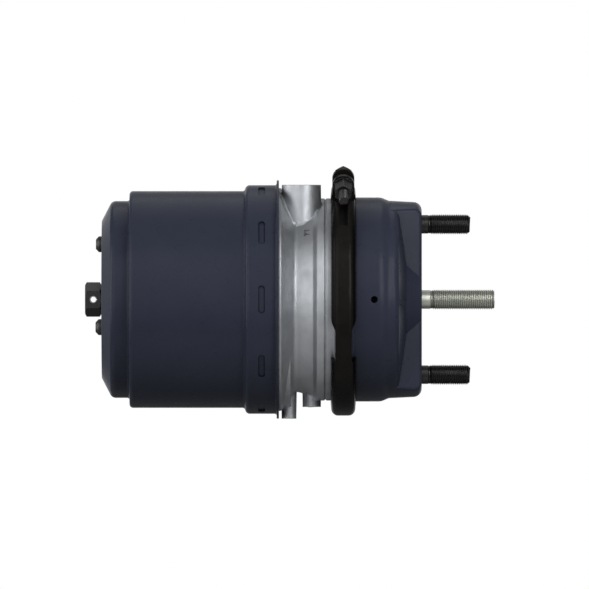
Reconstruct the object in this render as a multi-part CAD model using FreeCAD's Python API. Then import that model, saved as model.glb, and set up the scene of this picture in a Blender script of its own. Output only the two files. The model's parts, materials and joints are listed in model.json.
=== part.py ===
"""Combination spring brake actuator, drum brake pattern, size 24 over 24.

A service diaphragm chamber and a spring-loaded parking chamber share one cast
flange body. X runs along the actuator and points out of the push rod, with
X = 0 on the mounting face. Z is up and the two mounting studs lie above and
below the push rod. All sizes are in millimetres.
"""
import FreeCAD, Part
import math
import os

# Mounting studs and push rod
stud_pitch = 120.65
stud_diameter = 16.0
stud_reach = 38.5
stud_tip_chamfer = 2.0
stud_head_diameter = 22.5
stud_head_height = 5.0
stud_head_corner = 1.5
stud_press_rise = 0.3
push_rod_diameter = 15.8
push_rod_reach = 58.3
push_rod_tip_chamfer = 1.0
push_rod_thread_rise = 0.45
push_rod_thread_start = 7.4
push_rod_shoulder_diameter = 30.0
push_rod_shoulder_height = 5.0
stroke = 57.0

# Service housing, a pressed steel cup
service_sheet = 3.2
service_depth = 59.4
stud_edge_margin = 17.575
service_neck_step = 3.95
service_neck_rise = 1.3
service_root_fillet = 2.0
service_end_corner = 6.8
service_neck_start = 32.5
service_neck_length = 6.0
service_neck_radius = 12.0
rim_width = 6.65
stud_pad_width = 56.0
stud_pad_draft = 7.0
stud_pad_edge_radius = 3.0
shoulder_drop = 18.9
shoulder_corner = 8.0
shoulder_rise = 6.4
centre_dome_foot_diameter = 83.4
centre_dome_top_diameter = 64.6
centre_dome_edge_radius = 3.0
rod_opening_diameter = 40.0
breather_hole_diameter = 5.5
breather_hole_station = 38.2
breather_hole_count = 4

# Diaphragm, push plate and return spring
bead_thickness = 7.0
bead_width = 6.0
diaphragm_thickness = 3.0
plate_thickness = 3.2
plate_rim_height = 8.0
plate_rim_radius = 7.0
return_spring_wire = 4.0
return_spring_turns = 4.0
return_spring_foot_diameter = 76.0
return_spring_top_diameter = 44.0
dust_seal_thickness = 3.0
spring_washer_thickness = 2.5
spring_washer_bore = 26.0

# Cast flange body between the two chambers
casting_length = 48.1
casting_root_step = 0.75
casting_root_length = 17.6
casting_step_length = 3.0
waist_drop = 7.4
waist_rise = 3.6
cone_length = 11.0
cone_land = 1.7
spigot_length = 22.5
dish_depth = 26.6
dish_mouth_wall = 1.6
dish_taper = 19.5
spigot_wall = 9.4
recess_taper = 18.0
recess_wall_length = 17.0
recess_taper_length = 14.0
hub_diameter = 62.0
hub_length = 24.0
parting_groove_station = 10.9
parting_groove_depth = 1.0
crimp_groove_depth = 2.4
crimp_groove_margin = 0.5
seal_ring_section = 2.5
seal_ring_margin = 1.5
casting_edge_radius = 1.5
casting_rim_radius = 0.8
casting_hollow_radius = 3.0
waist_hollow_radius = 4.5
dish_mouth_radius = 2.0
dish_floor_radius = 6.0
recess_radius = 4.0
hub_taper = 1.0

# Ports and bosses on the casting
port_boss_diameter = 31.3
port_boss_draft = 0.5
port_boss_top = 91.8
port_boss_station = 30.1
port_offset = 28.6
port_thread_diameter = 16.0
port_thread_depth = 14.0
port_seat_diameter = 24.0
port_seat_depth = 1.0
port_passage_diameter = 7.0
port_passage_level = 60.0
port_branch_length = 22.0
vent_stub_diameter = 12.8
vent_stub_draft = 1.0
vent_stub_bottom = 95.6
vent_stub_station = 40.0
vent_stub_bore = 5.0
vent_stub_bore_depth = 14.0
saddle_diameter = 140.0
saddle_drop = 16.5
saddle_width = 7.6
bracket_boss_diameter = 15.2
bracket_boss_bottom = 86.2
bracket_boss_station = 21.8
bracket_boss_draft = 0.5
bracket_thread_diameter = 8.0
bracket_thread_depth = 10.0

# Spring housing, a deep-drawn steel cup
housing_sheet = 1.8
barrel_diameter = 173.9
collar_rise = 4.75
lip_flare = 3.9
lip_fillet = 1.5
collar_length = 27.7
collar_shoulder_length = 1.8
collar_corner = 3.5
collar_root_radius = 2.0
barrel_corner = 2.8
barrel_foot_fillet = 1.9
cap_drop = 8.0
cap_length = 22.2
cap_corner = 5.0
cap_cone_drop = 15.95
cap_face_corner = 2.5
cap_cone_length = 8.2
crimp_count = 10
crimp_width = 5.5
crimp_angle = 14.0
crimp_depth = 1.5
crimp_station = 13.8

# Parking piston and thrust tube
piston_end_gap = 2.0
piston_floor_thickness = 6.0
piston_shoulder = 11.15
piston_back_gap = 8.3
piston_skirt_length = 22.0
piston_wall = 6.5
piston_hub_wall = 7.0
piston_hub_rise = 16.0
piston_clearance = 0.6
piston_taper = 4.0
piston_corner_radius = 4.0
piston_edge_radius = 2.0
piston_seal_width = 7.0
piston_seal_depth = 4.5
guide_ring_width = 6.0
guide_ring_depth = 2.2
piston_land = 2.5
tube_diameter = 34.0
tube_bore = 25.0
tube_back_reach = 24.0
tube_cap_thickness = 6.0
tube_pad_depth = 8.0
guide_bush_wall = 2.5
guide_bush_length = 11.0
hub_lip_length = 3.0
tube_seal_wall = 6.0
tube_seal_length = 6.5
retainer_thickness = 1.6
retainer_depth = 2.0

# Power spring
power_spring_wire = 12.0
power_spring_turns = 4.7
power_spring_coil_gap = 0.362
power_spring_side_gap = 0.5
spring_seat_thickness = 2.0

# Release bolt in the cap
release_diameter = 16.0
release_overrun = 1.0
release_spare = 0.5
release_nut_flats = 24.0
release_nut_height = 13.2
release_nut_standoff = 0.3
release_pin_diameter = 6.0
release_pin_bore = 4.4
release_pin_slot = 0.5
release_pin_station = 6.6
release_pin_length = 23.0
release_bush_diameter = 34.0
release_bush_neck_diameter = 24.0
release_bush_length = 17.0
release_collar_gap = 0.8
release_collar_length = 8.0
release_washer_thickness = 2.0
release_end_reach = 2.0

# Plugs in the cap
plug_count = 3
plug_circle_diameter = 88.6
plug_head_diameter = 12.8
plug_head_height = 4.8
plug_tip_diameter = 7.6
plug_shank_diameter = 8.0
plug_barb_diameter = 9.0
plug_barb_length = 3.0

# Clamp ring round the seam
clamp_rim_gap = 2.1
clamp_foot_gap = 0.75
clamp_flank_slope = 0.085
clamp_corner = 6.5
clamp_inner_corner = 2.5
clamp_sheet = 2.6
clamp_split = 10.0
clamp_bolt_angle = 24.0
clamp_bolt_rise = 9.8
lug_width = 17.7
lug_thickness = 3.6
relief_crown_width = 13.2
relief_top = 13.5
relief_taper = 8.5
relief_bottom = 14.4
crown_slot_width = 7.0
crown_slot_reach = 42.0
clamp_bolt_diameter = 8.0
clamp_bolt_flats = 13.0
clamp_head_height = 5.3
clamp_nut_height = 13.0
clamp_bolt_end = 38.0
clamp_washer_diameter = 16.0
clamp_washer_thickness = 1.6

# Clearances and the small radius of turned edges
turned_edge_radius = 1.0
running_fit = 0.05
free_fit = 0.3
seat_fit = 0.1
rim_fit = 0.2
spring_fit = 0.3
spigot_fit = 0.5

# Diameters and widths that follow from the sizes above
push_rod_shank_diameter = push_rod_diameter - 2 * push_rod_thread_rise
service_end_diameter = stud_pitch + 2 * stud_edge_margin
service_diameter = service_end_diameter + 2 * service_neck_step
rim_diameter = service_diameter + 2 * rim_width
casting_root_diameter = service_diameter - 2 * casting_root_step
waist_diameter = casting_root_diameter - 2 * waist_drop
dish_mouth_diameter = casting_root_diameter - 2 * dish_mouth_wall
dish_floor_diameter = dish_mouth_diameter - 2 * dish_taper
dust_seal_diameter = centre_dome_top_diameter - 2 * (service_sheet + free_fit)
plate_diameter = dish_floor_diameter - 2 * diaphragm_thickness
collar_diameter = barrel_diameter + 2 * collar_rise
lip_diameter = collar_diameter + 2 * lip_flare
cap_diameter = barrel_diameter - 2 * cap_drop
cap_face_diameter = cap_diameter - 2 * cap_cone_drop
spigot_diameter = collar_diameter - 2 * (housing_sheet + spigot_fit)
recess_diameter = spigot_diameter - 2 * spigot_wall
recess_floor_diameter = recess_diameter - 2 * recess_taper
barrel_bore_radius = barrel_diameter / 2 - housing_sheet
piston_floor_diameter = 2 * (barrel_bore_radius - piston_shoulder)
spring_seat_diameter = piston_floor_diameter - 2 * (piston_wall + power_spring_side_gap)
power_spring_piston_diameter = spring_seat_diameter - power_spring_wire
power_spring_lead = power_spring_wire + power_spring_coil_gap
power_spring_length = power_spring_lead * power_spring_turns + power_spring_wire
release_travel = stroke + release_overrun
release_collar_diameter = tube_bore - 2 * release_collar_gap
clamp_diameter = rim_diameter + 2 * (clamp_rim_gap + clamp_sheet)
clamp_foot_diameter = service_diameter + 2 * clamp_foot_gap
clamp_bolt_radius = clamp_diameter / 2 + clamp_bolt_rise

# Stations along X, worked out from the lengths above
seam_right_x = -service_depth
seam_left_x = seam_right_x - bead_thickness
seam_x = (seam_right_x + seam_left_x) / 2
lip_x = seam_left_x - casting_length
collar_x = lip_x - collar_length
end_inner_x = -service_sheet
dish_x = seam_left_x - dish_depth
hub_x = dish_x - hub_length
spigot_x = lip_x - spigot_length
crimp_x = lip_x - crimp_station
piston_face_x = hub_x - piston_end_gap - stroke
piston_seat_x = piston_face_x - piston_floor_thickness
spring_right_x = piston_seat_x - spring_seat_thickness - spring_fit
spring_left_x = spring_right_x - power_spring_length
cap_inner_x = spring_left_x - spring_fit
cap_x = cap_inner_x - housing_sheet
barrel_x = cap_x + cap_length
skirt_left_x = barrel_x + piston_back_gap
skirt_right_x = skirt_left_x + piston_skirt_length
tube_left_x = piston_face_x - tube_back_reach
tube_cap_x = tube_left_x + tube_cap_thickness
tube_right_x = dish_x - free_fit
plate_left_x = dish_x + diaphragm_thickness + free_fit
plate_right_x = plate_left_x + plate_thickness
release_washer_x = tube_cap_x + release_travel + release_spare
release_collar_x = release_washer_x + release_washer_thickness + seat_fit
release_nut_x = cap_x - release_nut_standoff - release_nut_height
port_x = seam_left_x - port_boss_station

X_AXIS = FreeCAD.Vector(1, 0, 0)
Y_AXIS = FreeCAD.Vector(0, 1, 0)
Z_AXIS = FreeCAD.Vector(0, 0, 1)
ORIGIN = FreeCAD.Vector(0, 0, 0)


# Outlines and turned forms

def flat_point(corner):
    """The point of an outline corner, given as X and radius, in the XZ plane."""
    return FreeCAD.Vector(corner[0], 0, corner[1])


def rounded_edges(corners, closed):
    """Straight edges through the corners, with an arc where a corner has a radius."""
    points = [flat_point(corner) for corner in corners]
    count = len(corners)
    entries, exits, arcs = [], [], []
    for index, corner in enumerate(corners):
        point = points[index]
        radius = corner[2] if len(corner) > 2 else 0
        at_end = not closed and index in (0, count - 1)
        if radius <= 0 or at_end:
            entries.append(point)
            exits.append(point)
            arcs.append(None)
            continue
        back = points[index - 1] - point
        ahead = points[(index + 1) % count] - point
        half = back.getAngle(ahead) / 2
        limit = 0.49 * min(back.Length, ahead.Length)
        reach = min(radius / math.tan(half), limit)
        radius = reach * math.tan(half)
        back.normalize()
        ahead.normalize()
        middle = back + ahead
        middle.normalize()
        crest = point + middle * (radius / math.sin(half) - radius)
        start, end = point + back * reach, point + ahead * reach
        entries.append(start)
        exits.append(end)
        arcs.append(Part.Arc(start, crest, end).toShape())
    edges = []
    for index in range(count):
        if arcs[index]:
            edges.append(arcs[index])
        if index < count - 1 or closed:
            edges.append(Part.makeLine(exits[index], entries[(index + 1) % count]))
    return edges


def outline_face(corners):
    return Part.Face(Part.Wire(rounded_edges(corners, True)))


def turned(corners):
    """A solid turned about the X axis from its closed half outline."""
    return outline_face(corners).revolve(ORIGIN, X_AXIS, 360)


def offset_corners(corners, distance):
    """The corners moved to the right of the outline's direction by a sheet's thickness."""
    moved = []
    last = len(corners) - 1
    for index, corner in enumerate(corners):
        here = flat_point(corner)
        ahead = flat_point(corners[min(index + 1, last)]) - flat_point(corners[min(index, last - 1)])
        behind = flat_point(corners[max(index, 1)]) - flat_point(corners[max(index - 1, 0)])
        ahead.normalize()
        behind.normalize()
        across = FreeCAD.Vector(ahead.z + behind.z, 0, -ahead.x - behind.x)
        across.normalize()
        stretch = across.x * ahead.z - across.z * ahead.x
        place = here + across * (distance / stretch)
        turn_right = behind.z * ahead.x - behind.x * ahead.z > 0
        radius = corner[2] if len(corner) > 2 else 0
        if radius > 0:
            radius = max(radius - distance, 0) if turn_right else radius + distance
        moved.append((place.x, place.z, radius))
    return moved


def sheet_solid(corners, thickness):
    """A turned sheet part from its outer outline, with the sheet on the outline's right."""
    inner = offset_corners(corners, thickness)
    return turned(corners + inner[::-1])


def rod(left_x, right_x, radius):
    return Part.makeCylinder(radius, right_x - left_x, FreeCAD.Vector(left_x, 0, 0), X_AXIS)


def ring(left_x, right_x, inner_radius, outer_radius):
    return rod(left_x, right_x, outer_radius).cut(rod(left_x, right_x, inner_radius))


def upright(radius, x, y, bottom, top):
    return Part.makeCylinder(radius, top - bottom, FreeCAD.Vector(x, y, bottom), Z_AXIS)


def box_between(low, high):
    size = [high[i] - low[i] for i in range(3)]
    return Part.makeBox(*size, FreeCAD.Vector(*low))


def turned_about_x(shape, degrees):
    return shape.copy().rotate(ORIGIN, X_AXIS, degrees)


def hexagon(flats, left_x, right_x, chamfer_x=(True, True)):
    """A hexagonal bar along X, corners up and down, its chosen ends chamfered."""
    corner_radius = flats / math.sqrt(3)
    points = [
        FreeCAD.Vector(left_x, corner_radius * math.sin(math.radians(60 * k)),
                       corner_radius * math.cos(math.radians(60 * k)))
        for k in range(7)
    ]
    bar = Part.Face(Part.makePolygon(points)).extrude(X_AXIS * (right_x - left_x))
    face_radius = flats / 2 * 0.97
    bevel = (corner_radius - face_radius) * 0.6
    left_cut, right_cut = (bevel if chosen else 0 for chosen in chamfer_x)
    left_radius = face_radius if chamfer_x[0] else corner_radius
    right_radius = face_radius if chamfer_x[1] else corner_radius
    barrel = [(left_x, 0), (left_x, left_radius), (left_x + left_cut, corner_radius),
              (right_x - right_cut, corner_radius), (right_x, right_radius), (right_x, 0)]
    tidy = [corner for k, corner in enumerate(barrel) if k == 0 or corner != barrel[k - 1]]
    return bar.common(turned(tidy))


def coil_spring(left_x, right_x, left_diameter, right_diameter, wire, turns):
    """A conical wire spring along X, wound from its narrow end and ground flat on both ends."""
    length = right_x - left_x
    narrow, wide = sorted((left_diameter, right_diameter))
    cone_angle = math.degrees(math.atan2((wide - narrow) / 2, length))
    path = Part.makeHelix(length / turns, length, narrow / 2, cone_angle)
    start = path.Edges[0].valueAt(path.Edges[0].FirstParameter)
    heading = path.Edges[0].tangentAt(path.Edges[0].FirstParameter)
    section = Part.Wire(Part.makeCircle(wire / 2, start, heading))
    coil = Part.Wire(path.Edges).makePipeShell([section], True, True)
    if left_diameter <= right_diameter:
        coil.rotate(ORIGIN, Y_AXIS, 90)
        coil.translate(X_AXIS * left_x)
    else:
        coil.rotate(ORIGIN, Y_AXIS, -90)
        coil.translate(X_AXIS * right_x)
    return coil.common(box_between((left_x, -wide, -wide), (right_x, wide, wide)))


# Service housing

def service_wall():
    """Outer outline of the cup's wall, from its clamped rim to the neck at the end."""
    root_x = seam_right_x + service_sheet
    neck_x = -service_neck_start
    neck_end_x = neck_x + service_neck_length
    return [
        (root_x, rim_diameter / 2),
        (root_x, service_diameter / 2, service_root_fillet),
        (neck_x, service_diameter / 2, service_neck_radius),
        (neck_end_x, service_end_diameter / 2 + service_neck_rise, service_neck_radius),
    ]


def service_form(inset):
    """The cup as a solid body, shrunk by an inset: nothing outside, the sheet inside."""
    wall = service_wall()
    end_radius = service_end_diameter / 2
    drop_x = -shoulder_drop
    dome_foot = centre_dome_foot_diameter / 2
    low_end = wall + [(drop_x, end_radius, shoulder_corner), (drop_x + shoulder_rise, dome_foot)]
    high_end = wall + [(0, end_radius, service_end_corner), (0, dome_foot / 2)]
    forms = []
    for outline in (low_end, high_end):
        moved = offset_corners(outline, inset)
        first, last = moved[0], moved[-1]
        forms.append(turned(moved + [(last[0], 0), (first[0], 0)]))
    low, high = forms
    band_left_x = -service_neck_start + service_neck_length + 1.0
    band = high.common(pad_wedge(band_left_x, inset))
    band = rounded_band(band, inset)
    dome_base_x = drop_x + shoulder_rise - shoulder_corner
    dome_top = centre_dome_top_diameter / 2
    slope = (dome_foot - dome_top) / (shoulder_drop - shoulder_rise)
    foot = dome_foot + slope * shoulder_corner - inset
    edge = max(centre_dome_edge_radius - inset, 0.5)
    dome = turned([(dome_base_x, 0), (dome_base_x, foot), (-inset, dome_top - inset, edge), (-inset, 0)])
    return low.fuse([band, dome]).removeSplitter()


def pad_wedge(left_x, inset):
    """Upright wedge that the two stud pads are cut from, wider at the shoulder than at the face."""
    face_half = stud_pad_width / 2 - inset
    left_half = face_half + stud_pad_draft
    reach = service_diameter
    corners = [(left_x, -left_half), (-inset, -face_half), (-inset, face_half), (left_x, left_half)]
    points = [FreeCAD.Vector(x, y, -reach) for x, y in corners + corners[:1]]
    return Part.Face(Part.makePolygon(points)).extrude(Z_AXIS * 2 * reach)


def rounded_band(band, inset):
    """Round the edges between the stud pads' drafted sides and their face."""
    radius = stud_pad_edge_radius - inset
    if radius <= 0:
        return band
    face_half = stud_pad_width / 2 - inset
    edges = []
    for edge in band.Edges:
        box = edge.BoundBox
        on_face = abs(box.XMin + inset) < 0.001 and box.XLength < 0.001
        if on_face and min(abs(box.YMin - face_half), abs(box.YMax + face_half)) < 0.001:
            edges.append(edge)
    return band.makeFillet(radius, edges)


def make_service_housing():
    outer = service_form(0)
    rim_left = box_between((seam_right_x, -rim_diameter, -rim_diameter),
                           (seam_right_x + service_sheet, rim_diameter, rim_diameter))
    rim = rim_left.common(rod(seam_right_x, seam_right_x + service_sheet, rim_diameter / 2))
    inner = service_form(service_sheet)
    mouth = rod(seam_right_x - 1, seam_right_x + 2 * service_sheet, service_diameter / 2 - service_sheet)
    body = outer.fuse(rim).cut(inner).cut(mouth)
    body = body.cut(rod(-2 * service_sheet, 1, rod_opening_diameter / 2))
    for side in (-1, 1):
        stud_hole = rod(-2 * service_sheet, 1, stud_diameter / 2 + stud_press_rise)
        body = body.cut(stud_hole.translate(Z_AXIS * side * stud_pitch / 2))
    hole = Part.makeCylinder(breather_hole_diameter / 2, service_diameter,
                             FreeCAD.Vector(-breather_hole_station, 0, 0), Z_AXIS)
    for k in range(breather_hole_count):
        body = body.cut(turned_about_x(hole, 360 * k / breather_hole_count))
    return body


def make_mounting_studs():
    """Two studs pressed into the pads, thicker there, their heads inside the housing."""
    head_x = end_inner_x - stud_head_height
    pressed = stud_diameter / 2 + stud_press_rise
    outline = [
        (head_x, 0),
        (head_x, stud_head_diameter / 2, stud_head_corner),
        (end_inner_x, stud_head_diameter / 2),
        (end_inner_x, pressed),
        (0, pressed),
        (0, stud_diameter / 2),
        (stud_reach - stud_tip_chamfer, stud_diameter / 2),
        (stud_reach, stud_diameter / 2 - stud_tip_chamfer),
        (stud_reach, 0),
    ]
    stud = turned(outline)
    return [stud.copy().translate(Z_AXIS * side * stud_pitch / 2) for side in (1, -1)]


# Diaphragm, push rod and return spring

def make_diaphragm():
    """The rubber cup, laid back in the casting's dish, with its clamped bead."""
    mouth = dish_mouth_diameter / 2
    floor = dish_floor_diameter / 2
    outer = [
        (seam_left_x, mouth - free_fit, 2),
        (dish_x + free_fit, floor - free_fit, 6),
        (dish_x + free_fit, 0),
    ]
    inner = offset_corners(outer, -diaphragm_thickness)
    membrane = turned([outer[0], outer[1], outer[2], inner[2], inner[1], (seam_left_x + 1, inner[0][1])])
    bead = ring(seam_left_x, seam_right_x, inner[0][1] - 1, mouth + bead_width)
    return membrane.fuse(bead).removeSplitter()


def make_push_plate():
    half = plate_diameter / 2
    outer = [
        (plate_left_x, push_rod_shank_diameter / 2),
        (plate_left_x, half, plate_rim_radius),
        (plate_left_x + plate_rim_height, half),
    ]
    return sheet_solid(outer, plate_thickness)


def make_push_rod():
    """Rod with a forged shoulder, riveted into the plate and threaded at its outer end."""
    thread = push_rod_diameter / 2
    shank = push_rod_shank_diameter / 2
    shoulder_x = plate_right_x + push_rod_shoulder_height
    run_out = thread - shank
    outline = [
        (plate_left_x, 0),
        (plate_left_x, shank),
        (plate_right_x, shank),
        (plate_right_x, push_rod_shoulder_diameter / 2, 1),
        (shoulder_x, push_rod_shoulder_diameter / 2, 1),
        (shoulder_x, shank, 2),
        (push_rod_thread_start - run_out, shank),
        (push_rod_thread_start, thread),
        (push_rod_reach - push_rod_tip_chamfer, thread),
        (push_rod_reach, thread - push_rod_tip_chamfer),
        (push_rod_reach, 0),
    ]
    return turned(outline)


def make_rod_dust_seal():
    """Rubber disc behind the opening, wiping the rod's plain shank."""
    return ring(end_inner_x - dust_seal_thickness, end_inner_x,
                push_rod_shank_diameter / 2 + free_fit, dust_seal_diameter / 2)


def spring_washer_left_x():
    return end_inner_x - dust_seal_thickness - spring_washer_thickness


def make_spring_washer():
    return ring(spring_washer_left_x(), end_inner_x - dust_seal_thickness,
                spring_washer_bore / 2, dust_seal_diameter / 2)


def make_return_spring():
    return coil_spring(plate_right_x + spring_fit, spring_washer_left_x() - spring_fit,
                       return_spring_foot_diameter, return_spring_top_diameter,
                       return_spring_wire, return_spring_turns)


# Cast flange body

def dish_corners():
    """The diaphragm's dish, from its mouth to its floor."""
    mouth = (seam_left_x, dish_mouth_diameter / 2, dish_mouth_radius)
    return [mouth, (dish_x, dish_floor_diameter / 2, dish_floor_radius)]


def recess_corners():
    """The recess on the piston's side, from its floor to its wall."""
    recess_x = spigot_x + recess_wall_length
    floor_x = recess_x + recess_taper_length
    wall = (recess_x, recess_diameter / 2, recess_radius)
    return [(floor_x, recess_floor_diameter / 2, recess_radius), wall]


def casting_rooms():
    """The open rooms on both sides of the web, which no boss may reach into."""
    mouth, dish_floor = dish_corners()
    recess_floor, recess_wall = recess_corners()
    dish = turned([(dish_x, 0), dish_floor, (mouth[0], mouth[1]), (mouth[0], 0)])
    recess = turned([
        (spigot_x, 0), (spigot_x, recess_wall[1]), recess_wall, recess_floor, (recess_floor[0], 0),
    ])
    return [dish, recess]


def casting_outline():
    """Half section of the casting, without its ports, from the spigot round to the bore."""
    root = casting_root_diameter / 2
    waist = waist_diameter / 2
    spigot = spigot_diameter / 2
    rim = rim_diameter / 2
    step_x = seam_left_x - casting_root_length
    step_foot_x = step_x - casting_step_length
    cone_x = lip_x + cone_land
    groove_x = seam_left_x - parting_groove_station
    crimp_half = crimp_width / 2 + crimp_groove_margin
    seal_left_x = spigot_x + seal_ring_margin
    seal_floor = spigot - seal_ring_section + seat_fit
    seal_right_x = seal_left_x + seal_ring_section + seat_fit
    flank = clamp_inner_half_width(root) - rim_fit
    flank_top = clamp_inner_half_width(rim) - rim_fit
    recess_floor_x = recess_corners()[0][0]
    bush = tube_diameter / 2 + running_fit + guide_bush_wall
    seal = tube_diameter / 2 + running_fit + tube_seal_wall
    lip = tube_diameter / 2 + 2 * free_fit
    bush_right_x = dish_x - hub_lip_length
    bush_left_x = bush_right_x - guide_bush_length
    retainer_x = bush_left_x - tube_seal_length
    retainer_left_x = retainer_x - retainer_thickness
    return [
        (spigot_x, recess_diameter / 2),
        (spigot_x, spigot, turned_edge_radius),
        (seal_left_x, spigot),
        (seal_left_x, seal_floor),
        (seal_right_x, seal_floor),
        (seal_right_x, spigot),
        (crimp_x - crimp_half, spigot),
        (crimp_x - crimp_half, spigot - crimp_groove_depth),
        (crimp_x + crimp_half, spigot - crimp_groove_depth),
        (crimp_x + crimp_half, spigot),
        (cone_x, spigot, turned_edge_radius),
        (cone_x + cone_length, waist, waist_hollow_radius),
        (step_foot_x, waist + waist_rise, casting_edge_radius),
        (step_x, root, casting_edge_radius),
        (groove_x - parting_groove_depth, root),
        (groove_x, root - parting_groove_depth),
        (groove_x + parting_groove_depth, root),
        (seam_x - flank, root, casting_rim_radius),
        (seam_x - flank_top, rim, casting_rim_radius),
        (seam_left_x, rim),
        *dish_corners(),
        (dish_x, lip),
        (bush_right_x, lip),
        (bush_right_x, bush),
        (bush_left_x, bush),
        (bush_left_x, seal),
        (retainer_x, seal),
        (retainer_x, seal + retainer_depth),
        (retainer_left_x, seal + retainer_depth),
        (retainer_left_x, seal),
        (hub_x, seal),
        (hub_x, hub_diameter / 2, casting_edge_radius),
        (recess_floor_x, hub_diameter / 2 + hub_taper, recess_radius),
        *recess_corners(),
    ]


def port_boss(side):
    """A drafted upright boss, on the far side for port 11 and the near side for port 12."""
    radius = port_boss_diameter / 2
    base = FreeCAD.Vector(port_x, side * port_offset, port_passage_level)
    height = port_boss_top - port_passage_level
    return Part.makeCone(radius + port_boss_draft, radius, height, base, Z_AXIS)


def port_cuts(side):
    """Threaded entry, seat and the drilled way to the chamber that the port feeds."""
    y = side * port_offset
    seat_z = port_boss_top - port_seat_depth
    thread_z = seat_z - port_thread_depth
    thread_radius = port_thread_diameter / 2
    entry = upright(port_seat_diameter / 2, port_x, y, seat_z, port_boss_top + 1)
    thread = upright(thread_radius, port_x, y, thread_z, port_boss_top)
    way = upright(port_passage_diameter / 2, port_x, y, port_passage_level, thread_z + 1)
    start = FreeCAD.Vector(port_x, y, port_passage_level)
    branch = Part.makeCylinder(port_passage_diameter / 2, port_branch_length, start, X_AXIS * side)
    return [entry, thread, way, branch]


def lower_boss(diameter, draft, x, bottom):
    """A round boss that hangs under the waist, slimmer at its end."""
    root = waist_diameter / 2 - draft
    start = FreeCAD.Vector(x, 0, -bottom)
    height = bottom - root + diameter / 2
    return Part.makeCone((diameter - draft) / 2, diameter / 2, height, start, Z_AXIS)


def saddle():
    """Thickened underside of the cone, which carries the vent stub."""
    left_x = lip_x + cone_land
    centre = FreeCAD.Vector(left_x, 0, -saddle_drop)
    return Part.makeCylinder(saddle_diameter / 2, saddle_width, centre, X_AXIS)


def make_flange_body():
    vent_x = seam_left_x - vent_stub_station
    bracket_x = seam_left_x - bracket_boss_station
    lumps = [
        port_boss(-1), port_boss(1), saddle(),
        lower_boss(vent_stub_diameter, vent_stub_draft, vent_x, vent_stub_bottom),
        lower_boss(bracket_boss_diameter, bracket_boss_draft, bracket_x, bracket_boss_bottom),
    ]
    for room in casting_rooms():
        lumps = [lump.cut(room) for lump in lumps]
    hub_room = rod(spigot_x, seam_left_x, hub_diameter / 2)
    lumps = [lump.cut(hub_room) for lump in lumps]
    body = turned(casting_outline()).fuse(lumps)
    for side in (-1, 1):
        for tool in port_cuts(side):
            body = body.cut(tool)
    body = body.cut(upright(vent_stub_bore / 2, vent_x, 0, -vent_stub_bottom - 1,
                            -vent_stub_bottom + vent_stub_bore_depth))
    body = body.cut(upright(bracket_thread_diameter / 2, bracket_x, 0, -bracket_boss_bottom - 1,
                            -bracket_boss_bottom + bracket_thread_depth))
    return body.removeSplitter()


def make_flange_seal_ring():
    """Round-section ring that seals the spigot in the spring housing."""
    centre_x = spigot_x + seal_ring_margin + (seal_ring_section + seat_fit) / 2
    radius = seal_ring_section / 2 - seat_fit / 2
    outer = collar_diameter / 2 - housing_sheet
    return Part.makeTorus(outer - radius - seat_fit, radius, FreeCAD.Vector(centre_x, 0, 0), X_AXIS)


def tube_bore_station(part):
    """Left and right ends of the pieces packed into the casting's bore."""
    bush_right = dish_x - hub_lip_length
    bush_left = bush_right - guide_bush_length
    seal_left = bush_left - tube_seal_length
    ends = {
        "bush": (bush_left, bush_right),
        "seal": (seal_left + seat_fit, bush_left - seat_fit),
        "retainer": (seal_left - retainer_thickness, seal_left),
    }
    return ends[part]


def make_tube_guide_bush():
    left, right = tube_bore_station("bush")
    inner = tube_diameter / 2 + running_fit
    return ring(left, right, inner, inner + guide_bush_wall)


def make_tube_seal():
    """Lip seal with a groove in its pressure side."""
    left, right = tube_bore_station("seal")
    inner = tube_diameter / 2 + running_fit
    outer = inner + tube_seal_wall
    third = tube_seal_wall / 3
    return turned([
        (left, inner + 0.8), (left, inner + third), (left + third, inner + 1.4 * third),
        (left, outer - third), (left, outer), (right, outer), (right, inner), (left + 2, inner),
    ])


def make_tube_seal_retainer():
    left, right = tube_bore_station("retainer")
    outer = tube_diameter / 2 + running_fit + tube_seal_wall + retainer_depth - seat_fit
    inner = tube_diameter / 2 + 2.5
    circlip = ring(left, right, inner, outer)
    gap = box_between((left, -2.5, 0), (right, 2.5, outer + 1))
    return circlip.cut(gap)


# Spring housing and its cap pieces

def housing_outline():
    """Outer outline of the deep-drawn cup, from the bush in its cap to the flared lip."""
    lip_left_x = lip_x - housing_sheet
    cap = cap_diameter / 2
    barrel = barrel_diameter / 2
    collar = collar_diameter / 2
    return [
        (cap_x, release_bush_neck_diameter / 2),
        (cap_x, cap_face_diameter / 2, cap_face_corner),
        (cap_x + cap_cone_length, cap, cap_corner),
        (barrel_x, cap, barrel_foot_fillet),
        (barrel_x, barrel, barrel_corner),
        (collar_x, barrel, collar_root_radius),
        (collar_x + collar_shoulder_length, collar, collar_corner),
        (lip_left_x, collar, lip_fillet),
        (lip_left_x, lip_diameter / 2),
    ]


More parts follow.
